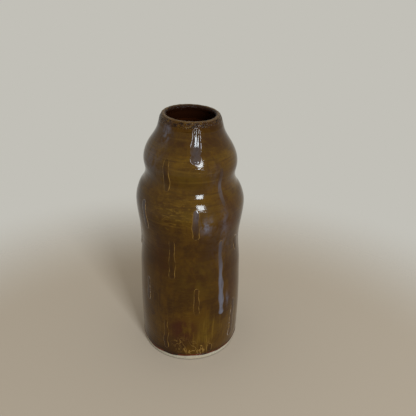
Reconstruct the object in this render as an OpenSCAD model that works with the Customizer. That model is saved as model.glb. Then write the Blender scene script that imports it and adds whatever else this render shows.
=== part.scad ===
// Tall stoneware vase: one thrown clay body under a brown glaze, which coats it outside and inside.
// Z is the axis of the vase. The origin is the centre of the foot, on the surface it stands on.
// Each layer lies at its own depth under the glazed outer face, so neighbours meet face to face.

/* [Outline] */
// Height from the foot to the crest of the lip
vase_h = 250.5; // [245:0.5:256]
// Radius of the glazed wall where it reaches the foot
foot_r = 50.4; // [49.8:0.1:51]
// Radius of the low swell above the foot
swell_r = 51.6; // [51:0.1:52.5]
// Radius of the straight wall below the waist
wall_r = 50.3; // [49.8:0.1:50.8]
// Radius of the waist, half way up
waist_r = 48.5; // [47:0.1:49]
// Radius of the belly above the waist
belly_r = 52.4; // [51:0.1:53]
// Radius of the steep slope where the belly turns in
turn_r = 48; // [47:0.1:48.5]
// Radius at the bottom of the groove between belly and shoulder
groove_r = 42.6; // [41.6:0.1:43]
// Radius of the shoulder roll above the groove
shoulder_r = 44; // [43.2:0.1:44.5]
// Radius half way up the sloping shoulder
slope_r = 37.2; // [36:0.1:37.5]
// Radius of the short neck under the lip
neck_r = 30.4; // [29.5:0.1:31]
// Radius of the mouth, to the middle of the lip
lip_r = 24.7; // [24:0.1:25]

/* [Walls] */
// Thickness of the wall at the floor, with its glaze
wall_foot = 6.5; // [5.5:0.1:8]
// Thickness of the lip, with its glaze
wall_lip = 4.7; // [4:0.1:5.5]
// Thickness of the floor, with its glaze
floor_t = 9; // [7:0.5:11]
// Radius of the inside corner between wall and floor
corner_r = 9; // [6:0.5:14]

/* [Foot] */
// Height of the bare clay band, up to the glaze line
bare_h = 5.6; // [4:0.2:8]
// Width of the bevel round the bottom edge
foot_bevel = 1; // [0.4:0.1:2]
// Radius of the shallow recess under the foot
recess_r = 38; // [30:0.5:42]
// Depth of the recess under the foot
recess_depth = 2; // [1:0.1:3]

/* [Glaze] */
// Thickness of a coat of glaze
coat_t = 0.6; // [0.4:0.05:0.9]
// Height of the rolled glaze edge along the glaze line
roll_h = 2.6; // [1.5:0.1:4]
// How far the rolled edge stands out from the coat
roll_bulge = 0.35; // [0.1:0.05:0.8]
// How far down the outside the lip glaze reaches, below the crest
lip_band_out = 9; // [6:0.5:12]
// How far down the inside the lip glaze reaches, below the crest
lip_band_in = 14; // [10:0.5:20]
// How far a glaze run stands out from the coat
run_t = 1; // [0.4:0.1:1.5]

/* [Hidden] */
$fn = 96;

// The glaze runs: name, place round the vase in degrees, top and bottom height, width at the top
// and at the bottom, and sideways drift on the way down. The place counts from -Y towards +X, and
// so does the drift.
RUNS = [
    ["glaze_run_neck_front",           10, 246, 217,  8.0, 12.0,  -2.5],
    ["glaze_run_shoulder_left",       -30, 220, 189,  6.5,  7.5,   0.5],
    ["glaze_run_groove_right",         39, 213, 177,  5.5,  6.5,  -1.0],
    ["glaze_run_belly_front",           6, 178, 147,  7.0,  8.0,   0.0],
    ["glaze_run_belly_left",          -56, 176, 148,  6.0,  7.0,   4.0],
    ["glaze_run_waist_left",          -20, 145, 101,  6.5,  7.5,  -0.5],
    ["glaze_run_waist_side",          -85, 140, 115,  8.0,  9.0,   0.0],
    ["glaze_run_waist_far_right",      62, 137, 118,  9.0, 10.0,   4.0],
    ["glaze_run_long_right",           35, 141,  54,  5.5,  8.0,   1.5],
    ["glaze_run_wall_left",           -54,  92,  65,  5.0,  6.0,   0.0],
    ["glaze_run_wall_front",            7,  92,  60,  6.5,  7.0,   0.0],
    ["glaze_run_low_far_right",        58,  64,  16,  8.0, 10.0,  -3.0],
    ["glaze_run_low_left",            -28,  51,  12,  5.5,  6.5,  -1.0],
    ["glaze_run_foot_front",           23,  20,   9,  7.0,  7.0,   0.0],
    ["glaze_run_neck_back",           172, 243, 208,  7.0,  8.5,   1.0],
    ["glaze_run_shoulder_back_left", -128, 226, 192,  6.5,  8.0,  -1.0],
    ["glaze_run_belly_back_right",    118, 182, 143,  6.5,  8.0,   1.0],
    ["glaze_run_belly_back",         -163, 176, 131,  6.0,  7.5,  -1.0],
    ["glaze_run_waist_back_left",    -118, 128,  88,  6.5,  8.0,   0.5],
    ["glaze_run_long_back",           148, 139,  48,  6.0,  8.5,  -1.5],
    ["glaze_run_wall_right",           96, 104,  66,  6.0,  7.5,   0.5],
    ["glaze_run_low_back",           -172,  70,  27,  6.5,  8.0,   1.0],
    ["glaze_run_low_back_left",      -104,  52,  14,  6.0,  7.0,  -0.5],
    ["glaze_run_foot_back_right",     120,  28,  10,  7.0,  8.0,   0.0],
];
RUN_NAMES = [for (run = RUNS) run[0]];

clay_colour = "#8f8471";
glaze_colour = "#583f18";
lip_colour = "#5a4a30";
liner_colour = "#2b1608";
roll_colour = "#3d250d";
run_colour = "#47300f";

wall_step = 6;          // height between the points of an outline, up to the belly
curve_step = 3;         // the same above it, where the outline turns more sharply
min_step = 0.5;         // the least height between two points
arc_step = 15;          // angle between the points of an arc
run_margin = 3;         // spare height of the skin that a run is cut from
run_reach = 60;         // reach of the cutter for a run, past the widest part of the vase

// The lip is round in section, and the wall meets it tangentially at this angle above level.
lip_angle = 30;
lip_round = wall_lip / 2;
lip_centre = [lip_r, vase_h - lip_round];
lip_join = lip_centre + lip_round * [cos(lip_angle), sin(lip_angle)];

roll_top = bare_h + roll_h;
band_out_z = vase_h - lip_band_out;
band_in_z = vase_h - lip_band_in;
corner_z = floor_t + corner_r;

// Stations of the glazed outer face: height, radius, and lean in degrees, outward going up.
STATIONS = [
    [0,              foot_r,      0.6],
    [0.18 * vase_h,  swell_r,     0],
    [0.40 * vase_h,  wall_r,     -2],
    [0.504 * vase_h, waist_r,     0],
    [0.66 * vase_h,  belly_r,     0],
    [0.724 * vase_h, turn_r,    -30],
    [0.78 * vase_h,  groove_r,    0],
    [0.824 * vase_h, shoulder_r,  0],
    [0.90 * vase_h,  slope_r,   -34],
    [0.952 * vase_h, neck_r,    -16],
    [lip_join[1],    lip_join[0], -lip_angle],
];

// Index of the span between two stations that holds a height
function span_at(z, i = 0) = i >= len(STATIONS) - 2 || z <= STATIONS[i + 1][0] ? i : span_at(z, i + 1);

// Radius of the outer face at height z: a cubic that passes each station at its lean
function face_r(z) =
    let (a = STATIONS[span_at(z)], b = STATIONS[span_at(z) + 1], h = b[0] - a[0], t = (z - a[0]) / h)
    (1 + 2 * t) * pow(1 - t, 2) * a[1] + pow(t, 2) * (3 - 2 * t) * b[1]
    + t * pow(1 - t, 2) * h * tan(a[2]) + pow(t, 2) * (t - 1) * h * tan(b[2]);

// Growth of that radius with height
function face_slope(z) =
    let (a = STATIONS[span_at(z)], b = STATIONS[span_at(z) + 1], h = b[0] - a[0], t = (z - a[0]) / h)
    6 * t * (1 - t) * (b[1] - a[1]) / h
    + (1 - t) * (1 - 3 * t) * tan(a[2]) + t * (3 * t - 2) * tan(b[2]);

// Point at a depth under the outer face, square to the face at height z
function under_face(z, depth) =
    let (slope = face_slope(z))
    [face_r(z), z] - depth / norm([1, slope]) * [1, -slope];

// Thickness of the wall at height z, from the inside corner up to the lip
function wall_t(z) = wall_foot + (wall_lip - wall_foot) * (z - corner_z) / (lip_join[1] - corner_z);

// Heights at which every outline has a point, whatever its layer
curve_z = 0.64 * vase_h;
LEVELS = concat(
    [for (z = [wall_step : wall_step : curve_z - min_step]) z],
    [for (z = [curve_z : curve_step : vase_h]) z]
);

// Heights from one up to another: both ends, and the shared levels between them
function levels(low, high) =
    concat([low], [for (z = LEVELS) if (z > low + min_step && z < high - min_step) z], [high]);

// The same points in the opposite order
function down(points) = [for (i = [len(points) - 1 : -1 : 0]) points[i]];

// Stretches of outline at a depth: up the outside, over the lip, and down the inside
function outside(low, high, depth) = [for (z = levels(low, high)) under_face(z, depth)];
function over_lip(depth) =
    [for (a = [lip_angle + arc_step : arc_step : lip_angle + 180 - arc_step])
        lip_centre + (lip_round - depth) * [cos(a), sin(a)]];
function inside(low, high, cover) = down([for (z = levels(low, high)) under_face(z, wall_t(z) - cover)]);

// The inside corner and the floor, under a cover of glaze or bare, ending on the axis
function corner_and_floor(cover) =
    let (wall = under_face(corner_z, wall_foot), centre = wall - [corner_r, 0], r = corner_r + cover)
    concat([for (a = [arc_step : arc_step : 90]) centre + r * [cos(a), -sin(a)]], [[0, centre[1] - r]]);

// The fired clay: foot with its recess, wall, lip and floor in one piece
module stoneware_body() {
    foot_edge = under_face(foot_bevel, coat_t);
    underside = [
        [0, recess_depth],
        [recess_r - recess_depth, recess_depth],
        [recess_r, 0],
        [foot_edge[0] - foot_bevel, 0],
    ];
    color(clay_colour)
        rotate_extrude()
            polygon(concat(
                underside,
                outside(foot_bevel, bare_h, coat_t),
                outside(bare_h, roll_top, coat_t),
                outside(roll_top, band_out_z, coat_t),
                outside(band_out_z, lip_join[1], coat_t),
                over_lip(coat_t),
                inside(band_in_z, lip_join[1], coat_t),
                inside(corner_z, band_in_z, coat_t),
                corner_and_floor(coat_t)
            ));
}

// The coat of glaze on the outside, from the rolled edge up to the lip
module outer_glaze() {
    color(glaze_colour)
        rotate_extrude()
            polygon(concat(
                outside(roll_top, band_out_z, 0),
                down(outside(roll_top, band_out_z, coat_t))
            ));
}

// The glaze that wraps over the lip, where the outer and inner coats run together
module lip_glaze() {
    color(lip_colour)
        rotate_extrude()
            polygon(concat(
                outside(band_out_z, lip_join[1], 0),
                over_lip(0),
                inside(band_in_z, lip_join[1], 0),
                down(inside(band_in_z, lip_join[1], coat_t)),
                down(over_lip(coat_t)),
                down(outside(band_out_z, lip_join[1], coat_t))
            ));
}

// The coat of glaze on the inside wall and floor
module liner_glaze() {
    color(liner_colour)
        rotate_extrude()
            polygon(concat(
                inside(corner_z, band_in_z, 0),
                corner_and_floor(0),
                down(corner_and_floor(coat_t)),
                down(inside(corner_z, band_in_z, coat_t))
            ));
}

// The thick rounded edge where the glaze stopped running, above the bare clay
module foot_glaze_roll() {
    bulge = [for (a = [arc_step : arc_step : 180])
        under_face(
            bare_h + roll_h * (1 - cos(a)) / 2,
            coat_t * (1 + cos(a)) / 2 - roll_bulge * sin(a)
        )];
    color(roll_colour)
        rotate_extrude()
            polygon(concat(bulge, down(outside(bare_h, roll_top, coat_t))));
}

// Outline of a run seen face on: round at both ends, drifting sideways on its way down
module run_outline(top, bottom, top_w, bottom_w, drift) {
    upper = [0, top - top_w / 2];
    lower = [drift, bottom + bottom_w / 2];
    polygon(concat(
        [for (a = [0 : arc_step : 180]) upper + top_w / 2 * [cos(a), sin(a)]],
        [for (a = [180 : arc_step : 360]) lower + bottom_w / 2 * [cos(a), sin(a)]]
    ));
}

// A run of thick glaze that froze on its way down the outer coat
module glaze_run(place, top, bottom, top_w, bottom_w, drift) {
    low = bottom - run_margin;
    high = top + run_margin;
    color(run_colour)
        intersection() {
            rotate_extrude()
                polygon(concat(outside(low, high, -run_t), down(outside(low, high, 0))));
            rotate([90, 0, place])
                linear_extrude(run_reach)
                    run_outline(top, bottom, top_w, bottom_w, drift);
        }
}

stoneware_body();
outer_glaze();
lip_glaze();
liner_glaze();
foot_glaze_roll();
for (run = RUNS)
    glaze_run(run[1], run[2], run[3], run[4], run[5], run[6]);
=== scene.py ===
"""Looks of a tall stoneware vase: a thrown clay body, its coats of glossy brown glaze, and the runs
of thick glaze that froze on their way down the outside.

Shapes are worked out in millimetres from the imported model, and turned into metres in build().
Places round the vase are angles counted from -Y (the front) towards +X (the right).
"""

import math
from dataclasses import dataclass

import bpy
import numpy as np
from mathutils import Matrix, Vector


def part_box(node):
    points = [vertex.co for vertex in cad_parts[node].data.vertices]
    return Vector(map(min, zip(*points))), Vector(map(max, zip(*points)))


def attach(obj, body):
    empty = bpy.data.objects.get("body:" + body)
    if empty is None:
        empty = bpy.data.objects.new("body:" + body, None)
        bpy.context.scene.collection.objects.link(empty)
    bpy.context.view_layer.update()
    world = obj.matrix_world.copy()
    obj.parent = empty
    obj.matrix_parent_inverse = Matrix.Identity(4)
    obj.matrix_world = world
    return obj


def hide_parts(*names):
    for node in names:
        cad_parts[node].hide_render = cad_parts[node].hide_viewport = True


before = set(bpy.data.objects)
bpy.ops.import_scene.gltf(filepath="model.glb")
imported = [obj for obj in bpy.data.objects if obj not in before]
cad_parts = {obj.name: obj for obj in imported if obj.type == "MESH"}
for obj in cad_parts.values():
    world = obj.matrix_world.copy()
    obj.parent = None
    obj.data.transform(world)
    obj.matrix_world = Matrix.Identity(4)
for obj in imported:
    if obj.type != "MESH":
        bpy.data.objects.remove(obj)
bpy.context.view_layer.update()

MM = 0.001


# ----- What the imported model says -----

LEVEL_GAP = 0.8    # vertices closer in height than this are on one level of the outline
LIP_ANGLE = 30     # degrees above level where the wall meets the round section of the lip
SAME_PLACE = 0.05  # vertices closer than this are at one place
NEAR_TABLE = 0.2   # vertices lower than this belong to the flat ring of the foot
OFF_FLOOR = 1.0    # vertices higher than this over the floor are on its round corner or the wall
LOW_PART = 0.2     # share of the height that surely holds that corner


def points_of(node):
    """The vertices of a CAD node, in millimetres."""
    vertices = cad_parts[node].data.vertices
    flat = np.empty(len(vertices) * 3, np.float32)
    vertices.foreach_get("co", flat)
    return flat.reshape(-1, 3).astype(float) / MM


def radii(points):
    return np.hypot(points[:, 0], points[:, 1])


def outer_levels(points):
    """Heights and radii of the levels that an outer face is made of, from a CAD node's vertices."""
    points = points[np.argsort(points[:, 2])]
    breaks = np.where(np.diff(points[:, 2]) > LEVEL_GAP)[0] + 1
    widest = [level[np.argmax(radii(level))] for level in np.split(points, breaks)]
    return [(point[2], math.hypot(point[0], point[1])) for point in widest]


lip_points = points_of("lip_glaze")
crest = lip_points[np.argmax(lip_points[:, 2])]
VASE_H = crest[2]
LIP_R = math.hypot(crest[0], crest[1])
LIP_ROUND = LIP_R - radii(lip_points).min()
LIP_CENTRE_Z = VASE_H - LIP_ROUND
LIP_JOIN_Z = LIP_CENTRE_Z + LIP_ROUND * math.sin(math.radians(LIP_ANGLE))
LIP_JOIN_R = LIP_R + LIP_ROUND * math.cos(math.radians(LIP_ANGLE))

BARE_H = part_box("foot_glaze_roll")[0].z / MM
ROLL_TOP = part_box("outer_glaze")[0].z / MM
BAND_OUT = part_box("outer_glaze")[1].z / MM
BAND_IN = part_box("lip_glaze")[0].z / MM

clay = points_of("stoneware_body")
COAT_T = radii(points_of("outer_glaze")).max() - radii(clay).max()
underside = clay[clay[:, 2] < BARE_H]
RECESS_DEPTH = underside[np.argmin(radii(underside))][2]
RECESS_R = radii(underside[underside[:, 2] < NEAR_TABLE]).min()


def outline():
    """Heights and radii of the glazed outer face's levels, from the table up to the lip's round section."""
    beside_lip = lip_points[(radii(lip_points) > LIP_R) & (lip_points[:, 2] < LIP_CENTRE_Z)]
    beside_lip = beside_lip[beside_lip[:, 2] > BAND_OUT]
    levels = outer_levels(points_of("outer_glaze")) + outer_levels(beside_lip) + [(LIP_JOIN_Z, LIP_JOIN_R)]
    levels = [levels[0]] + [b for a, b in zip(levels, levels[1:]) if b[0] - a[0] > LEVEL_GAP]
    (low_z, low_r), (next_z, next_r) = levels[:2]
    slope_at_foot = (next_r - low_r) / (next_z - low_z)
    return np.array([(0.0, low_r - slope_at_foot * low_z)] + levels).T


def inside_corner():
    """Radius and height of the flat part of the floor, and the radius of the round corner beside it."""
    liner = points_of("liner_glaze")
    liner = liner[liner[:, 2] < LOW_PART * VASE_H]
    floor_r = radii(liner).min()
    floor_z = liner[radii(liner) < floor_r + SAME_PLACE][:, 2].max()
    higher = liner[liner[:, 2] > floor_z + OFF_FLOOR]
    out = radii(higher) - floor_r
    up = higher[:, 2] - floor_z
    # the smallest of the circles that touch the floor's edge and go through a vertex
    return floor_r, floor_z, ((out**2 + up**2) / (2 * up)).min()


LEVEL_Z, LEVEL_R = outline()
LEVEL_SLOPE = np.gradient(LEVEL_R, LEVEL_Z)
FLOOR_R, FLOOR_Z, CORNER_R = inside_corner()


def profile(height):
    """Radius of the glazed outer face at some heights, and its growth: a cubic curve between levels."""
    height = np.clip(height, 0.0, LEVEL_Z[-1])
    i = np.clip(np.searchsorted(LEVEL_Z, height) - 1, 0, len(LEVEL_Z) - 2)
    step = LEVEL_Z[i + 1] - LEVEL_Z[i]
    t = (height - LEVEL_Z[i]) / step
    r0, r1 = LEVEL_R[i], LEVEL_R[i + 1]
    m0, m1 = LEVEL_SLOPE[i] * step, LEVEL_SLOPE[i + 1] * step
    radius = (
        (1 + 2 * t) * (1 - t) ** 2 * r0 + t * (1 - t) ** 2 * m0
        + t**2 * (3 - 2 * t) * r1 + t**2 * (t - 1) * m1
    )
    growth = (
        6 * t * (1 - t) * (r1 - r0) + (1 - t) * (1 - 3 * t) * m0 + t * (3 * t - 2) * m1
    ) / step
    return radius, growth


# ----- The hand of the potter: what makes a thrown pot differ from a turned solid -----

LEAN = 0.8            # how far the lower wall stands off the axis, towards +X
LEAN_TURN = 0.55      # share of the height where that lean changes side
GROOVE_TILT = -0.045  # fall of the groove for each millimetre towards +X
RIM_TILT = -0.027     # the same at the rim
OVALITY = 0.22        # how far the wall is out of round
OVAL_SHARE = 0.55     # share of that for a plain oval
OVAL_TURN = 0.9       # twice the angle of the oval's long axis, in radians
UNEVEN_SHARE = 0.3    # share of it for uneven waves
OVAL_RADII = (5, 20)  # radii between which it sets in
RING_PITCH = 3.3      # height between two throwing rings
RING_DEPTH = 0.03     # depth of the throwing rings outside
FINGER_PITCH = 7.5    # height between two finger marks inside
FINGER_DEPTH = 0.35   # depth of the finger marks

# where those set in or fade, as two shares of the vase's height
OVAL_SETS_IN = (0.0, 0.25)
LEAN_SETS_IN = (0.0, 0.08)
LEAN_FADES = (0.78, 0.86)
GROOVE_TILT_SETS_IN = (0.55, 0.78)
RIM_TILT_SETS_IN = (0.84, 1.0)


def ease(value, low, high):
    """0 below low, 1 above high, and a smooth step between."""
    t = np.clip((value - low) / (high - low), 0, 1)
    return t * t * (3 - 2 * t)


def sets_in(height, stretch):
    """0 below a stretch of the vase's height, 1 above it, and a smooth step between."""
    return ease(height, stretch[0] * VASE_H, stretch[1] * VASE_H)


def ripple(seed, angle, height, turns, pitch, waves=7):
    """Smooth noise over the wall, mostly from -1 to 1, with its own seed for each use.

    Its waves go up to some turns round the vase, and are no shorter than a pitch up the vase."""
    draw = np.random.default_rng(seed)
    total = 0.0
    for _ in range(waves):
        around = draw.integers(-turns, turns + 1)
        up = draw.uniform(-1, 1) * 2 * math.pi / pitch
        total = total + np.cos(around * angle + up * height + draw.uniform(0, 2 * math.pi))
    return total / math.sqrt(waves)


# single ridges that the potter's fingers left outside: height, place, half width in degrees, relief
RIDGES = [
    (234.5, -14, 14, 0.08),
    (211.0, -2, 34, 0.09),
    (201.0, 14, 34, 0.10),
    (159.5, -24, 26, 0.09),
    (228.0, 150, 40, 0.08),
    (208.0, -170, 60, 0.09),
    (196.0, 100, 40, 0.09),
    (150.0, -150, 60, 0.09),
    (104.0, 140, 60, 0.08),
]
RIDGE_HALF = 0.8         # half height of such a ridge
RIDGE_SWAY = 1.2         # how far it wanders up and down round the vase
TURN_Z = 0.735 * VASE_H  # where the belly turns in, which is steeper than the levels say
TURN_STEEPER = 0.13      # how much steeper, as a slope
TURN_HALF = 4.5          # over this much height up and down


def off_angle(angle, centre):
    """Degrees round the vase from a place to some angles, from -180 to 180."""
    return np.degrees(np.angle(np.exp(1j * (angle - math.radians(centre)))))


def spot(angle, height, centre, level, half_width, half_height):
    """1 at a place on the wall, and falling off to 0 round it. Its place and half width are in degrees."""
    aside = off_angle(angle, centre) / half_width
    above = (height - level) / half_height
    return np.exp(-(aside**2) - above**2)


def ridges(angle, height):
    """Relief of the single ridges."""
    total = 0.0
    for ridge_z, centre, half_width, rise in RIDGES:
        level = ridge_z + RIDGE_SWAY * np.sin(2 * angle + ridge_z)
        total = total + rise * spot(angle, height, centre, level, half_width, RIDGE_HALF)
    return total


def throwing_rings(angle, height):
    """Relief left by throwing: a fine spiral that comes and goes, broad waves, and single ridges."""
    strength = 0.5 + 0.6 * ripple(11, angle, height, turns=3, pitch=30)
    wander = 1.5 * ripple(12, angle, height, turns=3, pitch=35)
    spiral = np.sin(2 * math.pi * height / RING_PITCH + angle + wander)
    broad = 1.6 * ripple(13, angle, height, turns=2, pitch=18)
    relief = RING_DEPTH * (strength * spiral + broad) + ridges(angle, height)
    above_turn = height - TURN_Z
    return relief - TURN_STEEPER * above_turn * np.exp(-((above_turn / TURN_HALF) ** 2))


def finger_marks(angle, height):
    """Relief of the potter's finger marks inside."""
    wander = 0.5 * ripple(21, angle, height, turns=2, pitch=70)
    return FINGER_DEPTH * np.sin(2 * math.pi * height / FINGER_PITCH + angle + wander)


def place(angle, radius, height):
    """Points in millimetres at an angle, radius and height, moved as the thrown pot leans and tilts."""
    out_of_round = OVAL_SHARE * np.cos(2 * angle - OVAL_TURN)
    out_of_round = out_of_round + UNEVEN_SHARE * ripple(31, angle, height, turns=4, pitch=120)
    off_middle = ease(radius, *OVAL_RADII)
    radius = radius + OVALITY * sets_in(height, OVAL_SETS_IN) * out_of_round * off_middle
    tilt = GROOVE_TILT * sets_in(height, GROOVE_TILT_SETS_IN)
    tilt = tilt + (RIM_TILT - GROOVE_TILT) * sets_in(height, RIM_TILT_SETS_IN)
    x = radius * np.sin(angle)
    y = -radius * np.cos(angle)
    z = height + tilt * x
    lean = LEAN * sets_in(height, LEAN_SETS_IN) * (1 - height / (LEAN_TURN * VASE_H))
    lean = lean * (1 - sets_in(height, LEAN_FADES))
    return np.stack(np.broadcast_arrays(x + lean, y, z), axis=-1)


def face(angle, height, depth=0.0):
    """Points at a depth under the glazed outer face, square to it."""
    angle, height, depth = np.broadcast_arrays(angle, height, depth)
    radius, growth = profile(height)
    norm = np.hypot(1, growth)
    return place(angle, radius - depth / norm, height + depth * growth / norm)


# ----- Meshes -----

SHARP_ANGLE = 50  # degrees between two faces that make a sharp edge


def add_object(name, data):
    """A new object in the scene."""
    thing = bpy.data.objects.new(name, data)
    bpy.context.scene.collection.objects.link(thing)
    return thing


def build(name, points, faces, tints=None):
    """A smooth mesh object from points in millimetres, with its named values for each point."""
    mesh = bpy.data.meshes.new(name)
    mesh.from_pydata((points * MM).tolist(), [], faces)
    for tint, values in (tints or {}).items():
        layer = mesh.attributes.new(tint, "FLOAT", "POINT")
        layer.data.foreach_set("value", np.asarray(values, np.float32).ravel())
    mesh.shade_smooth()
    mesh.set_sharp_from_angle(angle=math.radians(SHARP_ANGLE))
    return add_object(name, mesh)


def quads(rows, around, rings_closed=False):
    """Faces between rows of points, each a closed ring. rings_closed joins the last row to the first."""
    row = np.arange(rows if rings_closed else rows - 1)[:, None]
    spoke = np.arange(around)[None, :]
    above = (row + 1) % rows
    beside = (spoke + 1) % around
    corners = np.broadcast_arrays(
        row * around + spoke, row * around + beside, above * around + beside, above * around + spoke,
    )
    return np.stack(corners, axis=-1).reshape(-1, 4).tolist()


def turned(name, rows, tints=None, start=None, end=None):
    """A piece from rows of points, each a closed ring round the vase or round a run of glaze.

    It closes on itself, or on the points start and end."""
    count, around = rows.shape[:2]
    points = rows.reshape(-1, 3)
    if start is None:
        return build(name, points, quads(count, around, rings_closed=True), tints)
    faces = quads(count, around)
    last = (count - 1) * around
    for spoke in range(around):
        beside = (spoke + 1) % around
        faces.append((len(points), beside, spoke))
        faces.append((last + spoke, last + beside, len(points) + 1))
    return build(name, np.vstack([points, start, end]), faces, tints)


def round_about(count):
    """Angles once round the vase, as one row."""
    return np.linspace(-math.pi, math.pi, count, endpoint=False)[None, :]


def column(values):
    """Values up the vase, as one column."""
    return np.asarray(values, float)[:, None]


def heights(low, high, step):
    """Evenly spaced heights, both ends included."""
    return np.linspace(low, high, max(2, round((high - low) / step) + 1))


# ----- Tints: where the glaze is milky, red, olive, dark or golden, with painted reflection and painted shade among them -----

# place in degrees, height, half width in degrees, half height and strength of each patch of a tint
PATCHES = {
    "streak": [
        (26, 34, 30, 22, 1.0), (-40, 60, 20, 30, 0.4), (150, 50, 60, 34, 0.8),
    ],
    "dash": [
        (-14, 172, 24, 16, 1.0), (10, 214, 30, 8, 0.5), (-6, 66, 22, 26, 0.22),
        (-160, 168, 34, 18, 0.9), (120, 60, 30, 24, 0.5),
    ],
    # milky blue: partly the glaze's own milkiness, partly painted reflection of the window and the pale
    # walls
    "milk_and_reflection": [
        (17, 161, 6, 8, 1.15), (37, 158, 4, 20, 0.35), (46, 70, 2.5, 8, 0.6), (40, 140, 16, 24, 0.14),
        (30, 205, 10, 12, 0.15), (-44, 240, 9, 9, 0.9), (-62, 212, 22, 12, 0.45),
        (150, 165, 8, 10, 0.8), (-140, 84, 6, 14, 0.5),
    ],
    # red-brown glaze; the patch at 40 degrees and 196 mm is painted shade, darkening the right of the belly
    # where the window lights it most
    "red": [
        (-8, 41, 15, 12, 1.7), (48, 160, 14, 16, 0.6), (40, 196, 22, 22, 0.4), (58, 85, 14, 30, 0.5),
        (-38, 120, 10, 20, 0.4), (165, 48, 18, 14, 0.9), (-95, 165, 18, 12, 0.6),
    ],
    "olive": [
        (-4, 204, 40, 9, 0.5), (-2, 172, 28, 7, 0.5), (16, 38, 12, 14, 0.9), (8, 100, 20, 20, 0.4),
        (-170, 208, 30, 12, 0.8), (-120, 60, 20, 20, 0.6),
    ],
    "gold": [
        (8, 16, 13, 8, 1.0), (-12, 22, 8, 8, 0.5), (-150, 18, 16, 9, 0.8), (95, 20, 12, 8, 0.6),
    ],
}

# where the glaze is thin, as it draws off the bulges, and on the upturned belly a painted sheen: height,
# half height and strength
BULGES = [(220, 9, 0.9), (187, 8, 0.8), (170, 9, 0.5), (36, 14, 0.3)]

POOL_H = 7             # how far the dark pool of glaze reaches above the glaze line
POOL_SWAY = 3          # how far that varies round the vase
POOL_RED = 0.3         # how red it is
ROUGH_BAND = (6.5, 4)  # the lip's rough band sets in from this far to this far below the top

# degrees over the lip, where its pale crest and its dark inside set in or fade
CREST_SETS_IN = (30, 60)
CREST_FADES = (95, 125)
INSIDE_SETS_IN = (105, 150)


def patches(tint, angle, height):
    """Strength of a tint over the wall."""
    total = np.zeros(np.broadcast(angle, height).shape)
    for *where, strength in PATCHES[tint]:
        total = total + strength * spot(angle, height, *where)
    return total


def thin_glaze_and_sheen(height):
    """How thin, and so how pale, the glaze is: it draws off the bulges and settles in the hollows. On the
    upturned belly this paleness is also a painted sheen.
    """
    total = 0.0
    for level, half_height, strength in BULGES:
        total = total + strength * np.exp(-(((height - level) / half_height) ** 2))
    return total


def coat_tints(angle, height):
    """The tints of the outer coat, with the dark pool of glaze just above its lower edge."""
    angle, height = np.broadcast_arrays(angle, height)
    pool_h = POOL_H + POOL_SWAY * ripple(41, angle, height, turns=9, pitch=60)
    pool = 1 - ease(height - glaze_line(angle), 0, pool_h)
    tints = {tint: patches(tint, angle, height) for tint in PATCHES}
    tints["red"] = tints["red"] + POOL_RED * pool
    tints["pool"] = pool
    tints["ridge"] = ridges(angle, height)
    tints["thin_and_sheen"] = thin_glaze_and_sheen(height)
    return tints


def lip_tints(angle, height, turn):
    """The tints of the lip. Turn is in degrees: 0 on the wall outside, 90 on the crest, 180 inside."""
    angle, height, turn = np.broadcast_arrays(angle, height, turn)
    return {
        "thin_and_sheen": thin_glaze_and_sheen(height),
        "milk_and_reflection": patches("milk_and_reflection", angle, height),
        "lip": ease(height, VASE_H - ROUGH_BAND[0], VASE_H - ROUGH_BAND[1]),
        "worn": ease(turn, *CREST_SETS_IN) * (1 - ease(turn, *CREST_FADES)),
        "inside": ease(turn, *INSIDE_SETS_IN),
    }


# ----- Pieces -----

AROUND = 200          # points round each turned piece
LINER_AROUND = 144    # the same round the liner
COAT_STEP = 0.55      # height between points of the outer coat
BAND_STEP = 0.4       # the same on the bare clay
LIP_STEP = 0.8        # the same on the lip's glaze inside
LINER_STEP = 1.5      # the same on the liner
HIDDEN_STEP = 5       # the same where a layer is covered by another
UNDER_LIP_STEP = 2.5  # the same under the lip's glaze
ARC_STEP = 22.5       # degrees between points of a small or hidden arc
HIDDEN_LIP_ARC = 30   # the same over the lip, where it is covered
SUNK = 0.12           # how far a piece of glaze sinks into the one it lies on

BEVEL = 1.0              # bevel at the foot's outer edge
RECESS_PITCH = 3.1       # distance between two throwing marks under the foot
RECESS_MARKS = 0.12      # their depth
CLAY_GRAIN = 1.6         # grain of the bare clay
FOOT_GRIT = 0.04         # roughness under the foot
BEVEL_GRIT = 0.06        # roughness of the bevel
BAND_GRIT = 0.07         # roughness of the bare band
MARKS_SET_IN = 8         # height over which the finger marks set in above the inside corner
MARKS_FADE = 12          # the same where they fade below the rim
FLOOR_SWIRL = 0.3        # height of the finger marks on the floor
SWIRL_SETS_IN = (3, 12)  # radii between which they set in
SWIRL_FADES = 28         # radius from which they fade

LINE_SWAY = 0.3        # how far the glaze line sways, and how high its short waves are
LINE_WAVES = 0.32
ROLL_BULGE = 0.38      # how far the rolled edge stands out, how much that varies, and how blunt it is
ROLL_UNEVEN = 0.12
ROLL_BLUNT = 1.3
TUCKED_LOW = 0.4       # how far the coat reaches down behind the rolled edge
TUCKED_HIGH = 0.3      # and up behind the lip's glaze
RINGS_SET_IN = 2       # height over which the throwing rings set in above the rolled edge
LIP_FRINGE = 0.5       # how uneven the lower edge of the lip's glaze is
LIP_RISE = 0.02        # how far that glaze stands out, and how much further where it is rough
ROUGH_RISE = 0.1
ROUGH_RELIEF = (7, 4)  # this roughness sets in from this far to this far below the top

# where the glaze line hangs lower: place and half width in degrees, and depth
DRIPS = [
    (-44, 16, 2.0), (-22, 7, 0.9), (20, 7, 1.0), (36, 7, 1.5), (56, 9, 1.0),
    (-128, 7, 0.8), (158, 5, 0.9), (104, 9, 0.5),
]


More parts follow.
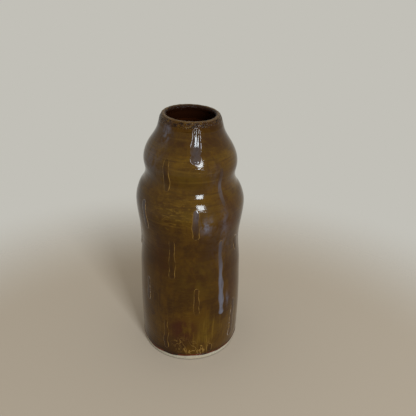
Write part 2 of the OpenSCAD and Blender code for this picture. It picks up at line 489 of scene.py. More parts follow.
def glaze_line(angle):
    """Height of the wavy edge where the outer glaze stopped running."""
    line = BARE_H + LINE_SWAY * ripple(51, angle, 0.0, turns=6, pitch=100)
    line = line + LINE_WAVES * ripple(52, angle, 0.0, turns=23, pitch=100)
    for at, half_width, depth in DRIPS:
        line = line - depth * np.exp(-((off_angle(angle, at) / half_width) ** 2))
    return line


def arc(start, stop, step):
    """Angles in radians of the points of an arc, from degrees."""
    return np.radians(np.linspace(start, stop, round(abs(stop - start) / step) + 1))


def over_lip(angle, depth, step):
    """Rows of points over the round lip, from outside to inside."""
    a = column(arc(LIP_ANGLE, LIP_ANGLE + 180, step))
    radius = LIP_ROUND - depth
    return place(angle, LIP_R + radius * np.cos(a), LIP_CENTRE_Z + radius * np.sin(a))


def wall_t(height):
    """Thickness of the wall, from the inside corner up to the lip."""
    corner_z = FLOOR_Z + CORNER_R
    at_corner = profile(corner_z)[0] - FLOOR_R - CORNER_R
    share = (height - corner_z) / (LIP_JOIN_Z - corner_z)
    return at_corner + (2 * LIP_ROUND - at_corner) * share


def inside_rows(angle, low, high, step, cover, marked=False):
    """Rows of points down the inside wall, under a cover of glaze or bare, with finger marks or plain."""
    z = column(heights(low, high, step)[::-1])
    fade = ease(z, low, low + MARKS_SET_IN) * (1 - ease(z, high - MARKS_FADE, high))
    relief = finger_marks(angle, z) * fade if marked else 0.0
    return face(angle, z, wall_t(z) - cover - relief)


def corner_rows(angle, cover, step):
    """Rows of points round the inside corner and in to the middle of the floor."""
    a = column(arc(0, 90, step))
    corner_r = CORNER_R + cover
    bend = place(angle, FLOOR_R + corner_r * np.cos(a), FLOOR_Z + CORNER_R - corner_r * np.sin(a))
    r = column(np.linspace(FLOOR_R, 2, 14)[1:])
    fade = ease(r, *SWIRL_SETS_IN) * (1 - ease(r, SWIRL_FADES, FLOOR_R))
    swirl = FLOOR_SWIRL * np.sin(2 * math.pi * r / FINGER_PITCH - angle) * fade
    return np.vstack([bend, place(angle, r, FLOOR_Z - cover + swirl)])


def grit(angle, height, seed, grain):
    """Fine uneven relief of bare clay: half of it fine, with a grain in millimetres, half coarser."""
    fine = ripple(seed, angle, height, turns=60, pitch=grain, waves=16)
    coarse = ripple(seed + 1, angle, height, turns=25, pitch=3 * grain, waves=9)
    return 0.5 * fine + 0.5 * coarse


def foot_rows(angle):
    """Rows of points from the middle of the recess, over the ring of the foot, to the end of its bevel."""
    foot_r = float(profile(0)[0]) - COAT_T
    step_foot = RECESS_R - RECESS_DEPTH
    recess_r = column([5, 12, 20, 28, step_foot - 1])
    recess_z = RECESS_DEPTH + RECESS_MARKS * np.sin(2 * math.pi * recess_r / RECESS_PITCH - angle)
    step_r = column(np.linspace(step_foot, RECESS_R, 5))
    step_z = RECESS_DEPTH * (1 - ease(step_r, step_foot, RECESS_R))
    ring_r = column(np.linspace(RECESS_R + 0.6, foot_r - BEVEL - 0.4, 9))
    ring_z = FOOT_GRIT + FOOT_GRIT * grit(angle, ring_r, seed=61, grain=2)
    a = column(arc(0, 90, ARC_STEP))
    bevel_r = foot_r - BEVEL + BEVEL * np.sin(a)
    bevel_z = BEVEL * (1 - np.cos(a))
    bevel_r = bevel_r + BEVEL_GRIT * grit(angle, bevel_z, seed=63, grain=CLAY_GRAIN)
    return np.vstack([
        place(angle, recess_r, recess_z),
        place(angle, step_r, step_z),
        place(angle, ring_r, np.maximum(ring_z, 0)),
        place(angle, bevel_r, bevel_z),
    ])


def make_body():
    """The fired clay: foot with its recess, bare band, wall, lip and floor."""
    angle = round_about(AROUND)
    band = column(heights(BEVEL + 0.35, ROLL_TOP, BAND_STEP))
    wall = column(heights(ROLL_TOP + 1, LIP_JOIN_Z - 1, HIDDEN_STEP))
    under_glaze = COAT_T + SUNK
    rows = np.vstack([
        foot_rows(angle),
        face(angle, band, COAT_T - BAND_GRIT * grit(angle, band, seed=63, grain=CLAY_GRAIN)),
        face(angle, wall, under_glaze),
        over_lip(angle, under_glaze, HIDDEN_LIP_ARC),
        inside_rows(angle, FLOOR_Z + CORNER_R + 2, LIP_JOIN_Z - 1, HIDDEN_STEP, under_glaze),
        corner_rows(angle, COAT_T, ARC_STEP),
    ])
    return turned("clay_body", rows, start=(0, 0, RECESS_DEPTH), end=(0, 0, FLOOR_Z - COAT_T))


def make_outer_coat():
    """The coat of glaze on the outside, which comes out of the rolled edge and goes in under the lip's."""
    angle = round_about(AROUND)
    low = glaze_line(angle) + (ROLL_TOP - BARE_H) - TUCKED_LOW
    rise = BAND_OUT + TUCKED_HIGH - low
    z = low + rise * column(np.linspace(0, 1, round((BAND_OUT - ROLL_TOP) / COAT_STEP)))
    outer = face(angle, z, -throwing_rings(angle, z) * ease(z, low, low + RINGS_SET_IN))
    hidden = low + rise * column(np.linspace(1, 0, 48))
    inner = face(angle, hidden, COAT_T)
    tints = coat_tints(angle, np.vstack([z, hidden]))
    return turned("outer_glaze_coat", np.vstack([outer, inner]), tints)


def lip_pits(angle, across):
    """Rough relief of the pitted glaze round the lip."""
    fine = grit(angle, across, seed=71, grain=1.4)
    broad = ripple(73, angle, across, turns=30, pitch=5)
    return 0.05 * fine + 0.06 * broad


def make_lip_coat():
    """The glaze over the lip, with its rough band outside."""
    angle = round_about(AROUND)
    fringe = LIP_FRINGE * ripple(75, angle, 0.0, turns=9, pitch=100)
    share = column(np.linspace(0, 1, 15))
    z = BAND_OUT + fringe * (1 - share) + (LIP_JOIN_Z - BAND_OUT) * share
    rough = ease(z, VASE_H - ROUGH_RELIEF[0], VASE_H - ROUGH_RELIEF[1])
    relief = throwing_rings(angle, z) + (ROUGH_RISE + lip_pits(angle, z)) * rough
    outer = face(angle, z, -LIP_RISE - relief)
    a = column(arc(LIP_ANGLE + 8, LIP_ANGLE + 172, 8))
    round_r = LIP_ROUND + lip_pits(angle, a * LIP_ROUND + VASE_H)
    over = place(angle, LIP_R + round_r * np.cos(a), LIP_CENTRE_Z + round_r * np.sin(a))
    low = BAND_IN + 3
    inner = inside_rows(angle, low, LIP_JOIN_Z, LIP_STEP, cover=0.0)
    under_inside = inside_rows(angle, low, LIP_JOIN_Z, UNDER_LIP_STEP, COAT_T)[::-1]
    under_lip = over_lip(angle, COAT_T, HIDDEN_LIP_ARC)[::-1]
    under_outside = face(angle, column(heights(BAND_OUT, LIP_JOIN_Z, UNDER_LIP_STEP)[::-1]), COAT_T)
    rows = np.vstack([outer, over, inner, under_inside, under_lip, under_outside])
    turn = np.full(len(rows), 180.0)
    turn[:len(outer)] = 0
    turn[len(outer):len(outer) + len(a)] = np.degrees(a.ravel())
    return turned("lip_glaze_coat", rows, lip_tints(angle, rows[..., 2], column(turn)))


def make_liner():
    """The dark coat on the inside wall and floor."""
    angle = round_about(LINER_AROUND)
    corner_z, top = FLOOR_Z + CORNER_R, BAND_IN + 4
    # its two skins meet at the top edge, and each closes on a point in the middle of the floor
    rows = np.vstack([
        corner_rows(angle, COAT_T, ARC_STEP)[::-1],
        inside_rows(angle, corner_z, top, HIDDEN_STEP, COAT_T)[::-1],
        inside_rows(angle, corner_z, top, LINER_STEP, 0.0, marked=True),
        corner_rows(angle, 0.0, ARC_STEP / 3),
    ])
    return turned("liner_glaze_coat", rows, start=(0, 0, FLOOR_Z - COAT_T), end=(0, 0, FLOOR_Z))


def make_rolled_edge():
    """The thick rounded edge of the outer glaze, above the bare clay."""
    angle = round_about(2 * AROUND)
    line = glaze_line(angle)
    roll_h = ROLL_TOP - BARE_H
    a = column(arc(0, 180, 15))
    bulge = ROLL_BULGE + ROLL_UNEVEN * ripple(81, angle, 0.0, turns=14, pitch=100)
    sunk = COAT_T + SUNK
    z = line + roll_h * (1 - np.cos(a)) / 2
    bead = face(angle, z, sunk * (1 + np.cos(a)) / 2 - bulge * np.sin(a) ** ROLL_BLUNT)
    back = face(angle, line + roll_h * column([1, 0.75, 0.5, 0.25]), sunk)
    return turned("rolled_glaze_edge", np.vstack([bead, back]))


@dataclass
class RunLook:
    """How a run looks. Its milky blue and painted reflection, and its gold, have three values: for its top,
    its middle and its bottom.
    """
    relief: float = 0.6              # how far it stands out
    hollow: float = 0.15             # how much of that is missing along its middle
    swell: tuple = (0.6, 0.65, 0.8, 1.0)     # share of the relief, at the SWELL_PLACES
    milk_and_reflection: tuple = (0, 0.12, 0.06)    # milky purple glaze and painted reflection of its middle
    gold: tuple = (0.8, 0.6, 0.3)    # strength of its golden edge
    dark: float = 0.4                # darkness of its middle
    painted_glint: float = 0.0               # painted highlight along its edge
    wobble: float = 0.6              # how far it strays sideways


RUN_LOOKS = {
    "neck_front": RunLook(
        relief=1.4, hollow=0.38, swell=(1.15, 0.87, 0.06, 0.6), milk_and_reflection=(0, 0.25, 0.3),
        gold=(0.2, 0.1, 0.2), dark=0.75, painted_glint=1.0, wobble=0.3,
    ),
    "shoulder_left": RunLook(
        relief=0.5, hollow=0.2, milk_and_reflection=(0, 0, 0), gold=(0.3, 1.0, 0.2), dark=0.45, wobble=0.45,
    ),
    "groove_right": RunLook(relief=0.4, hollow=0, milk_and_reflection=(0.1, 0.45, 0.2), gold=(0.1, 0, 0), dark=0.4),
    "belly_front": RunLook(relief=0.6, hollow=0.1, milk_and_reflection=(0.4, 0.12, 0), gold=(1.0, 0.7, 0.9), dark=0.45),
    "belly_left": RunLook(relief=0.6, hollow=0.3, milk_and_reflection=(0.3, 0.3, 0.1), gold=(0.2, 1.2, 0.2), painted_glint=0.25),
    "waist_left": RunLook(relief=0.45, hollow=0.1, milk_and_reflection=(0, 0, 0), gold=(0, 0.8, 0.2), wobble=0.5),
    "waist_side": RunLook(relief=0.95, hollow=0, milk_and_reflection=(0, 0, 0), gold=(0.2, 0.5, 0.5), dark=0.5),
    "waist_far_right": RunLook(relief=0.6, milk_and_reflection=(0, 0, 0), gold=(1.0, 1.3, 0.5), painted_glint=0.4),
    "long_right": RunLook(
        relief=0.7, hollow=0, milk_and_reflection=(0.4, 0.95, 1.1), gold=(0.5, 0.15, 0.1), dark=0.6, wobble=0.5,
    ),
    "wall_left": RunLook(relief=0.5, milk_and_reflection=(0.1, 0.2, 0.1), gold=(0.2, 0.9, 0.4), dark=0.8, painted_glint=0.6),
    "wall_front": RunLook(relief=0.4, hollow=0.2, milk_and_reflection=(0, 0, 0), gold=(1.3, 0.8, 0), dark=0.2),
    "low_far_right": RunLook(milk_and_reflection=(0.1, 0.1, 0.1), gold=(0.3, 0.9, 0.4), painted_glint=0.5),
    "low_left": RunLook(relief=0.4, hollow=0, milk_and_reflection=(0, 0, 0), gold=(0.1, 0.8, 0.1), dark=0.3, wobble=0.9),
    "foot_front": RunLook(relief=0.45, hollow=0.2, milk_and_reflection=(0, 0, 0), gold=(1.0, 1.0, 0), dark=0.4),
}

RUN_PREFIX = "glaze_run_"
# places down a run, as shares of its length
SWELL_PLACES = (0.06, 0.38, 0.74, 0.9)
HOLLOW_EASES = (0.1, 0.35)
MIDDLE_SETS_IN = (0.22, 0.5)
BOTTOM_SETS_IN = (0.6, 0.9)
RUN_ROW = 0.32         # spacing of the points of a run along it
RUN_HALF_COLUMNS = 11  # points from the middle of a run to its edge
RUN_END = 0.35         # share of a run's length that tells the width of its end
LONGEST_END = 7        # and the most that may be, in millimetres
TOP_HOLLOW = 1.8       # how deep the hollow is at the top, against further down
HOLLOW_HALF = 0.45     # half width of the hollow, against the run's
END_GOLD = 1.3         # how far the gold of an end reaches, in half widths of that end
RUN_RED = 0.6          # how red a run is, against the coat beside it


def run_outline(node):
    """A CAD run's place, top and bottom, and the middle and half width of its two ends."""
    points = points_of(node)
    middle = points.mean(axis=0)
    at = math.atan2(middle[0], -middle[1])
    across = points[:, 0] * math.cos(at) + points[:, 1] * math.sin(at)
    low, high = points[:, 2].min(), points[:, 2].max()
    near = min(LONGEST_END, RUN_END * (high - low))
    ends = []
    for part in (across[points[:, 2] > high - near], across[points[:, 2] < low + near]):
        ends.append(((part.max() + part.min()) / 2, (part.max() - part.min()) / 2))
    return at, high, low, ends


class RunGrid:
    """Points of a run, in rows from its top to its bottom, each going across it.

    They draw closer together towards its ends and sides."""

    def __init__(self, node, wobble, seed):
        self.at, self.high, self.low, ends = run_outline(node)
        (top_middle, self.top_half), (end_middle, self.end_half) = ends
        self.seed = seed
        length = self.high - self.low
        rows = round(length / RUN_ROW)
        self.down = column((1 - np.cos(np.linspace(0, math.pi, rows + 2)[1:-1])) / 2)
        self.across = np.sin(np.linspace(-math.pi / 2, math.pi / 2, 2 * RUN_HALF_COLUMNS + 1))[None, :]
        self.from_top = self.down * length
        self.from_end = length - self.from_top
        inward = np.minimum(self.from_top / self.top_half, self.from_end / self.end_half)
        self.rounded = np.sqrt(np.clip(1 - (1 - np.clip(inward, 0, 1)) ** 2, 0, 1))
        share = ease(self.down, 0.0, 1.0)
        uneven = 0.9 + 0.1 * ripple(seed, 0.0, self.from_top, turns=1, pitch=13)
        self.half = (self.top_half + (self.end_half - self.top_half) * share) * uneven * self.rounded
        stray = wobble * ripple(seed + 1, 0.0, self.from_top, turns=1, pitch=18) * ease(inward, 0, 3)
        middle = top_middle + (end_middle - top_middle) * share + stray
        self.z = self.high - self.from_top
        self.angle = self.at + (middle + self.across * self.half) / profile(self.z)[0]


def run_relief(grid, look):
    """How far a run stands out: crowned across it, and hollow along its middle."""
    hollow = look.hollow * (TOP_HOLLOW - (TOP_HOLLOW - 1) * ease(grid.down, *HOLLOW_EASES))
    section = (1 - grid.across**2) * (1 - hollow * np.exp(-((grid.across / HOLLOW_HALF) ** 2)))
    uneven = 1 + 0.08 * ripple(grid.seed + 2, 0.0, grid.from_top, turns=1, pitch=10)
    swell = np.interp(grid.down, SWELL_PLACES, look.swell) * uneven
    return look.relief * swell * grid.rounded * section


def run_tints(grid, look):
    """The tints of a run. Its edge is the distance to its outline, in millimetres."""
    milk_and_reflection_top, milk_and_reflection_middle, milk_and_reflection_end = look.milk_and_reflection
    milk_and_reflection = milk_and_reflection_top + (milk_and_reflection_middle - milk_and_reflection_top) * ease(grid.down, *MIDDLE_SETS_IN)
    milk_and_reflection = milk_and_reflection + (milk_and_reflection_end - milk_and_reflection_middle) * ease(grid.down, *BOTTOM_SETS_IN)
    gold_top, gold_sides, gold_end = look.gold
    near_top = 1 - ease(grid.from_top, 0, END_GOLD * grid.top_half)
    near_end = 1 - ease(grid.from_end, 0, END_GOLD * grid.end_half)
    return {
        "milk_and_reflection": milk_and_reflection * (1 - 0.5 * grid.across**2),
        "gold_edge": gold_sides + (gold_top - gold_sides) * near_top + (gold_end - gold_sides) * near_end,
        "painted_glint": look.painted_glint,
        "edge": np.minimum((1 - np.abs(grid.across)) * grid.half, np.minimum(grid.from_top, grid.from_end)),
        "core": look.dark * (1 - grid.across**2),
        "red": RUN_RED * patches("red", grid.angle, grid.z),
        "thin_and_sheen": thin_glaze_and_sheen(grid.z),
    }


def both_sides(values, shape):
    """Values for all points of a run, from those across it: its under side, its top side, its two ends."""
    values = np.broadcast_to(values, shape)
    rings = np.hstack([values, values[:, ::-1]])
    return np.concatenate([rings.ravel(), [values[0].mean(), values[-1].mean()]])


def make_run(node, seed):
    """A run of thick glaze: a long drop, thicker towards its end, on the outer coat."""
    name = node.removeprefix(RUN_PREFIX)
    look = RUN_LOOKS.get(name, RunLook())
    grid = RunGrid(node, look.wobble, seed)
    relief = run_relief(grid, look) + throwing_rings(grid.angle, grid.z)
    # its edges lie a little way in the coat, and its under side further in
    top_side = face(grid.angle, grid.z, 0.5 * SUNK - relief)
    under_side = face(grid.angle, grid.z, 0.6 * COAT_T)
    rings = np.hstack([under_side, top_side[:, ::-1]])
    tip, toe = (face(grid.at, z, SUNK) for z in (grid.high, grid.low))
    tints = {tint: both_sides(values, grid.angle.shape) for tint, values in run_tints(grid, look).items()}
    tints["edge"][-2:] = 0.0
    return turned("run_" + name, rings, tints, start=tip, end=toe)


# ----- Materials -----

PER_MM = 1 / MM                     # noise scales below are per millimetre
GLOSS = 0.22                        # how strongly the glazes mirror the room
MIX_FACTOR, MIX_A, MIX_B = 0, 6, 7  # a Mix node's sockets where it mixes colours
MIX_RESULT = 2


class Shader:
    """A material and short ways to add to its nodes."""

    def __init__(self, name):
        self.material = bpy.data.materials.new(name)
        self.material.use_nodes = True
        self.tree = self.material.node_tree
        self.surface = self.tree.nodes["Principled BSDF"]
        self.at = self.add("TexCoord").outputs["Object"]

    def add(self, kind, inputs=None, **settings):
        """A node, with its settings, and its inputs set to values or linked to sockets."""
        node = self.tree.nodes.new("ShaderNode" + kind)
        for key, value in settings.items():
            setattr(node, key, value)
        for key, value in (inputs or {}).items():
            self.feed(node.inputs[key], value)
        return node

    def feed(self, socket, value):
        """Links a socket to another, or sets it to a value."""
        if isinstance(value, bpy.types.NodeSocket):
            self.tree.links.new(value, socket)
        else:
            socket.default_value = value

    def tint(self, name):
        """The named values of the mesh's points."""
        return self.add("Attribute", attribute_name=name).outputs["Fac"]

    def noise(self, stretch, detail=3.0, roughness=0.5, distortion=0.0):
        """Noise with its own grain along X, Y and Z, each as waves per millimetre."""
        at = self.add("VectorMath", {0: self.at, 1: [s * PER_MM for s in stretch]}, operation="MULTIPLY")
        inputs = {"Vector": at.outputs[0], "Scale": 1.0, "Detail": detail}
        inputs.update({"Roughness": roughness, "Distortion": distortion})
        return self.add("TexNoise", inputs).outputs["Fac"]

    def cells(self, scale):
        """Distance to scattered points, some per millimetre."""
        inputs = {"Vector": self.at, "Scale": scale * PER_MM}
        return self.add("TexVoronoi", inputs).outputs["Distance"]

    def math(self, operation, a, b=0.0):
        """The result of a Math node."""
        return self.add("Math", {0: a, 1: b}, operation=operation).outputs[0]

    def times(self, *factors):
        """The product of two or more values."""
        product, *others = factors
        for factor in others:
            product = self.math("MULTIPLY", product, factor)
        return product

    def between(self, value, low, high, out_low=0.0, out_high=1.0):
        """A value moved smoothly from one range to another."""
        inputs = {"Value": value, "From Min": low, "From Max": high, "To Min": out_low, "To Max": out_high}
        return self.add("MapRange", inputs, interpolation_type="SMOOTHSTEP").outputs[0]

    def mix(self, factor, a, b):
        """A colour between two."""
        inputs = {MIX_FACTOR: factor, MIX_A: a, MIX_B: b}
        return self.add("Mix", inputs, data_type="RGBA", clamp_factor=True).outputs[MIX_RESULT]

    def bump(self, height, distance):
        """Fine relief, its distance in millimetres where the height is 1."""
        inputs = {"Height": height, "Distance": distance * MM, "Strength": 1.0}
        return self.add("Bump", inputs).outputs[0]

    def finish(self, **sockets):
        """Feeds the surface's sockets and returns the material. Underscores stand for spaces."""
        for key, value in sockets.items():
            self.feed(self.surface.inputs[key.replace("_", " ")], value)
        return self.material

    def glaze(self, base, rough, normal, ior=1.52, gloss=GLOSS):
        """Finishes the material as a glossy glaze."""
        return self.finish(
            Base_Color=base, Roughness=rough, Normal=normal, IOR=ior, Specular_IOR_Level=gloss,
        )


def colour(red, green, blue):
    """A display colour, from 0 to 255, as scene-linear values."""
    linear = [((c / 255 + 0.055) / 1.055) ** 2.4 if c > 10 else c / 255 / 12.92 for c in (red, green, blue)]
    return (*linear, 1.0)


AMBER = colour(86, 59, 3)
DEEP_AMBER = colour(48, 26, 1)
THICK_AMBER = colour(67, 42, 1)
OLIVE = colour(80, 59, 5)
RED_BROWN = colour(52, 22, 4)
POOL_BROWN = colour(26, 10, 2)
GOLD = colour(158, 122, 60)
# milky blue of the glaze, also used for painted reflection
MILKY_BLUE_AND_REFLECTION = colour(96, 96, 107)
LIP_BROWN = colour(50, 28, 9)
LIP_CREST = colour(100, 76, 46)
# painted highlight: the white of the glints along the runs' edges
PAINTED_GLINT_WHITE = colour(190, 188, 196)
GOLD_DASH = colour(108, 80, 22)
ROLL_RED = colour(84, 32, 8)
LINER_DARK = colour(32, 13, 4)
LINER_LIGHT = colour(62, 28, 7)
CLAY_DARK = colour(138, 129, 112)
CLAY_LIGHT = colour(168, 159, 139)
CLAY_STAIN = colour(160, 138, 108)
IRON_SPECK = colour(84, 66, 48)
# painted contact shadow, where the foot meets the floor
PAINTED_CONTACT_SHADOW = colour(74, 64, 48)
FLOOR_BEIGE = colour(182, 168, 151)
ROOM_GREY = colour(194, 192, 184)


def glaze_base(s):
    """Colour of the brown glaze: mottled, paler where it is thin and where a painted sheen lightens the
    upturned belly, with streaks running down.
    """
    thin_and_sheen = s.tint("thin_and_sheen")
    mottle = s.between(s.noise((0.035, 0.035, 0.028), detail=8, roughness=0.74, distortion=0.4), 0.4, 0.6)
    base = s.mix(thin_and_sheen, s.mix(mottle, DEEP_AMBER, THICK_AMBER), s.mix(mottle, THICK_AMBER, AMBER))
    rings = s.between(s.noise((0.02, 0.02, 0.4), detail=5, roughness=0.7, distortion=0.3), 0.45, 0.62)
    base = s.mix(s.times(rings, s.between(thin_and_sheen, 0.0, 1.0, 0.12, 0.42)), base, OLIVE)
    combing = s.between(s.noise((0.035, 0.035, 0.8), detail=4, roughness=0.65, distortion=0.2), 0.48, 0.64)
    base = s.mix(s.times(combing, s.between(thin_and_sheen, 0.0, 1.0, 0.2, 0.6)), base, DEEP_AMBER)
    streaks = s.between(s.noise((0.25, 0.25, 0.015), detail=4, roughness=0.6), 0.5, 0.75)
    base = s.mix(s.times(streaks, 0.45), base, DEEP_AMBER)
    freckles = s.between(s.noise((0.4, 0.4, 0.45), detail=4, roughness=0.7), 0.52, 0.7)
    return s.mix(s.times(freckles, 0.45), base, RED_BROWN)


def glaze_bump(s, strength=1.0):
    """Fine relief under the gloss: level lines, a soft orange peel and a few pinholes."""
    lines = s.noise((0.02, 0.02, 0.9), detail=3)
    peel = s.noise((0.25, 0.25, 0.2), detail=2)
    holes = s.between(s.cells(0.045), 0.0, 0.012, -1.0, 0.0)
    total = s.math("ADD", s.times(lines, 0.5 * strength), s.times(peel, 0.8 * strength))
    return s.bump(s.math("ADD", total, s.times(holes, 2.0)), 0.12)


def milky_haze_and_reflection(s, base):
    """Adds the milky blue haze where the tint says so: partly milky glaze, partly painted reflection."""
    smoke = s.between(s.noise((0.2, 0.2, 0.12), detail=4, roughness=0.7, distortion=0.6), 0.35, 0.62)
    return s.mix(s.times(s.tint("milk_and_reflection"), smoke, 0.7), base, MILKY_BLUE_AND_REFLECTION)


def coat_material():
    """The outer coat: glossy brown glaze with patches of olive, red and milky blue; some milky blue patches
    are painted reflection, and one red patch is painted shade.
    """
    s = Shader("outer_glaze_brown")
    base = glaze_base(s)
    cloud = s.between(s.noise((0.09, 0.09, 0.07), detail=4, roughness=0.6), 0.3, 0.6)
    base = s.mix(s.times(s.tint("olive"), cloud), base, OLIVE)
    base = s.mix(s.times(s.tint("red"), cloud), base, RED_BROWN)
    base = s.mix(s.times(s.tint("ridge"), 2.6), base, GOLD_DASH)
    dashes = s.between(s.noise((0.16, 0.16, 0.55), detail=3, roughness=0.6, distortion=0.8), 0.5, 0.66)
    base = s.mix(s.times(s.tint("dash"), dashes, 0.6), base, GOLD_DASH)
    brushed = s.between(s.noise((0.5, 0.5, 0.03), detail=3, roughness=0.6, distortion=0.3), 0.5, 0.66)
    base = s.mix(s.times(s.tint("streak"), brushed, 0.45), base, GOLD_DASH)
    base = milky_haze_and_reflection(s, base)
    wiggle = s.noise((0.12, 0.12, 0.07), detail=2, roughness=0.5, distortion=1.2)
    thread = s.between(s.math("ABSOLUTE", s.math("SUBTRACT", wiggle, 0.5)), 0.0, 0.035, 1.0, 0.0)
    base = s.mix(s.times(s.tint("gold"), thread, 0.8), base, GOLD)
    base = s.mix(s.times(s.tint("pool"), 0.8), base, POOL_BROWN)
    rough = s.between(s.noise((0.05, 0.05, 0.05), detail=3), 0.3, 0.7, 0.06, 0.13)
    return s.glaze(base, rough, glaze_bump(s))


def lip_material():
    """The lip: the same glaze, thinner and rougher, with pits, and paler on the crest."""
    s = Shader("lip_glaze_brown")
    band = s.tint("lip")
    base = milky_haze_and_reflection(s, glaze_base(s))
    pits = s.between(s.noise((0.35, 0.35, 0.5), detail=4, roughness=0.7), 0.35, 0.65)
    base = s.mix(s.times(band, pits), base, LIP_BROWN)
    holes = s.between(s.noise((0.3, 0.3, 0.6), detail=2, distortion=0.5), 0.52, 0.6)
    base = s.mix(s.times(band, holes, 0.9), base, POOL_BROWN)
    flecks = s.between(s.noise((0.24, 0.24, 0.7), detail=3, distortion=0.8), 0.56, 0.64)
    base = s.mix(s.times(band, flecks, 0.45), base, GOLD_DASH)
    base = s.mix(s.times(s.tint("worn"), s.between(pits, 0.0, 1.0, 0.4, 0.9)), base, LIP_CREST)
    base = s.mix(s.tint("inside"), base, LINER_DARK)
    rough = s.math("ADD", 0.08, s.times(band, s.between(pits, 0.0, 1.0, 0.06, 0.22)))
    coarse = s.math("ADD", s.times(pits, 1.2), s.noise((0.8, 0.8, 0.8), detail=3))
    coarse = s.times(coarse, s.between(band, 0.0, 1.0, 0.08, 1.0))
    return s.glaze(base, rough, s.bump(coarse, 0.22), ior=1.5, gloss=0.6 * GLOSS)


def liner_material():
    """The liner: very dark brown glaze."""
    s = Shader("liner_glaze_dark")
    base = s.mix(s.noise((0.05, 0.05, 0.04), detail=4), LINER_DARK, LINER_LIGHT)
    return s.glaze(base, 0.25, glaze_bump(s), ior=1.5)


def rolled_edge_material():
    """The rolled edge: glaze so thick that it is nearly black, with red-brown patches."""
    s = Shader("rolled_glaze_dark")
    cloud = s.between(s.noise((0.08, 0.08, 0.05), detail=4, roughness=0.6), 0.42, 0.56)
    base = s.mix(cloud, POOL_BROWN, ROLL_RED)
    return s.glaze(base, 0.16, glaze_bump(s))


def run_material():
    """The runs: thick dark glaze with a golden edge and a painted highlight along it, milky blue glaze and
    painted reflection where the tint says so.
    """
    s = Shader("glaze_run_amber")
    edge = s.tint("edge")
    base = s.mix(s.times(s.tint("core"), 0.7), glaze_base(s), POOL_BROWN)
    base = s.mix(s.tint("red"), base, RED_BROWN)
    # milky blue in the run's middle: partly milky glaze, partly painted reflection of the window
    smoke = s.between(s.noise((0.25, 0.25, 0.08), detail=4, roughness=0.6), 0.25, 0.6)
    inner = s.between(edge, 0.15, 1.1)
    milk_and_reflection = s.times(s.tint("milk_and_reflection"), inner, s.between(smoke, 0.0, 1.0, 0.45, 1.0), 0.75)
    base = s.mix(milk_and_reflection, base, MILKY_BLUE_AND_REFLECTION)
    width = s.between(s.noise((0.3, 0.3, 0.15), detail=2), 0.3, 0.7, 0.5, 1.1)
    line = s.between(s.math("DIVIDE", edge, width), 0.2, 1.0, 1.0, 0.0)
    base = s.mix(s.times(s.tint("gold_edge"), line, 0.75), base, GOLD)
    # painted highlight: broken white dots along the run's edge, standing in for the window's glints
    dots = s.between(s.noise((0.5, 0.5, 0.45), detail=3, roughness=0.6), 0.42, 0.6)
    base = s.mix(s.times(s.tint("painted_glint"), line, dots), base, PAINTED_GLINT_WHITE)
    return s.glaze(base, 0.1, glaze_bump(s, 0.6), ior=1.54)


def clay_material():
    """Bare stoneware: warm grey, gritty, with dark iron specks, and a painted contact shadow along the
    foot's lowest edge.
    """
    s = Shader("bare_stoneware")
    grain = s.noise((0.9, 0.9, 0.9), detail=5, roughness=0.65)
    base = s.mix(s.between(grain, 0.3, 0.7), CLAY_DARK, CLAY_LIGHT)
    stain = s.between(s.noise((0.06, 0.06, 0.3), detail=3), 0.5, 0.75)
    base = s.mix(s.times(stain, 0.4), base, CLAY_STAIN)
    specks = s.between(s.cells(0.5), 0.05, 0.16, 1.0, 0.0)
    base = s.mix(s.times(specks, 0.6), base, IRON_SPECK)
    height = s.add("SeparateXYZ", {0: s.at}).outputs["Z"]
    # painted shadow: the clay darkens over its lowest 2 mm, where the foot meets the floor
    base = s.mix(s.between(height, 0.7 * MM, 2.0 * MM, 0.65, 0.0), base, PAINTED_CONTACT_SHADOW)
    relief = s.math("ADD", grain, s.times(s.noise((2.5, 2.5, 2.5), detail=2), 0.6))
    return s.finish(Base_Color=base, Roughness=0.85, Normal=s.bump(relief, 0.18))


def floor_material():
    """The pale floor, which fades into the backdrop further out."""
    s = Shader("pale_floor")
    distance = s.add("VectorMath", {0: s.at}, operation="LENGTH").outputs["Value"]
    near = s.between(distance, FLOOR_PLAIN * MM, FLOOR_SPREAD * MM, 1.0, 0.0)
    return s.finish(Base_Color=FLOOR_BEIGE, Roughness=0.9, Alpha=near)


# ----- Camera, light and floor -----

CAMERA_BACK = 1.808  # distance of the camera in front of the axis, in vase heights
CAMERA_UP = 1.592    # height of the camera, in vase heights
CAMERA_DOWN = 28.47  # degrees that it looks down
CAMERA_TURN = 2.195  # degrees that it looks to the right
CAMERA_ROLL = 1.37   # degrees that it is turned about its own axis
CAMERA_FILM = 36     # width of its picture, in millimetres
CAMERA_LENS = 45.2   # its focal length
CAMERA_CLIP = 0.01   # how near it sees, in metres

WINDOW_ANGLE = 24      # place of the window light
WINDOW_RISE = 21       # its height above level, in degrees, seen from the middle of the vase
WINDOW_DISTANCE = 3.0  # its distance, width, height and power, in metres and watts
WINDOW_SIZE = (0.7, 1.0)
WINDOW_POWER = 84
WINDOW_TINT = (0.86, 0.94, 1.0)
FLOOR_PLAIN = 260      # radius of the floor, up to where it starts to fade
FLOOR_SPREAD = 500     # the same where it ends
FLOOR_FORWARD = 150    # how far its middle lies in front of the vase
FLOOR_CORNERS = 96     # points round it


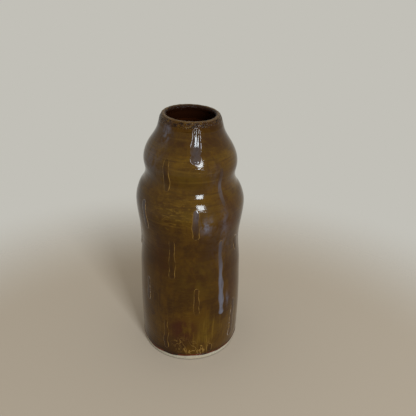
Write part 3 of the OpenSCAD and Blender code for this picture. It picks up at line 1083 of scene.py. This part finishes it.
def make_camera():
    """The camera, which looks down on the vase from in front of it."""
    camera = add_object("camera", bpy.data.cameras.new("camera"))
    camera.data.lens = CAMERA_LENS
    camera.data.sensor_width = CAMERA_FILM
    camera.data.clip_start = CAMERA_CLIP
    down, turn, roll = (math.radians(a) for a in (CAMERA_DOWN, CAMERA_TURN, CAMERA_ROLL))
    forward = Vector((math.sin(turn) * math.cos(down), math.cos(turn) * math.cos(down), -math.sin(down)))
    right = Vector((math.cos(turn), -math.sin(turn), 0))
    up = right.cross(forward)
    camera_right = right * math.cos(roll) + up * math.sin(roll)
    camera_up = up * math.cos(roll) - right * math.sin(roll)
    matrix = camera.matrix_world.copy()
    for i, axis in enumerate((camera_right, camera_up, -forward)):
        matrix.col[i][:3] = axis
    matrix.translation = (0, -CAMERA_BACK * VASE_H * MM, CAMERA_UP * VASE_H * MM)
    camera.matrix_world = matrix
    bpy.context.scene.camera = camera


def make_window():
    """The soft rectangular window light, which faces the middle of the vase."""
    data = bpy.data.lights.new("window", "AREA")
    data.shape = "RECTANGLE"
    data.size, data.size_y = WINDOW_SIZE
    data.energy = WINDOW_POWER
    data.color = WINDOW_TINT
    light = add_object("window", data)
    angle, rise = math.radians(WINDOW_ANGLE), math.radians(WINDOW_RISE)
    back = Vector((math.sin(angle) * math.cos(rise), -math.cos(angle) * math.cos(rise), math.sin(rise)))
    light.location = Vector((0, 0, VASE_H * MM / 2)) + back * WINDOW_DISTANCE
    light.rotation_mode = "QUATERNION"
    light.rotation_quaternion = back.to_track_quat("Z", "Y")


def make_floor():
    """A round pale floor."""
    angle = np.linspace(0, 2 * math.pi, FLOOR_CORNERS, endpoint=False)
    rim = FLOOR_SPREAD * np.stack([np.cos(angle), np.sin(angle), 0 * angle], axis=-1)
    floor = build("floor", rim, [tuple(range(FLOOR_CORNERS))])
    floor.location.y = -FLOOR_FORWARD * MM
    floor.data.materials.append(floor_material())


def make_room():
    """Soft light from all round."""
    world = bpy.data.worlds.new("room")
    world.use_nodes = True
    world.node_tree.nodes["Background"].inputs["Color"].default_value = ROOM_GREY
    bpy.context.scene.world = world
    bpy.context.scene.view_settings.view_transform = "Standard"


# ----- The vase -----

FIRST_RUN_SEED = 100  # seed of the first run's noise
RUN_SEEDS = 10        # and how far on the next one's is


def dress(piece, material, slot, *nodes):
    """Gives a piece its material, hangs it on the root, and hides the CAD nodes that it stands for. Its
    slot is not used.
    """
    piece.data.materials.append(material)
    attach(piece, "root")
    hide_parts(*nodes)


def make_vase():
    """The coats and the clay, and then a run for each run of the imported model."""
    dress(make_body(), clay_material(), "clay", "stoneware_body")
    dress(make_outer_coat(), coat_material(), "outer_glaze", "outer_glaze")
    dress(make_lip_coat(), lip_material(), "lip_glaze", "lip_glaze")
    dress(make_liner(), liner_material(), "liner_glaze", "liner_glaze")
    dress(make_rolled_edge(), rolled_edge_material(), "rolled_edge", "foot_glaze_roll")
    amber = run_material()
    runs = sorted(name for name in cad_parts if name.startswith(RUN_PREFIX))
    for i, node in enumerate(runs):
        dress(make_run(node, FIRST_RUN_SEED + RUN_SEEDS * i), amber, "glaze_runs", node)


make_camera()
make_floor()
make_room()
make_window()
make_vase()
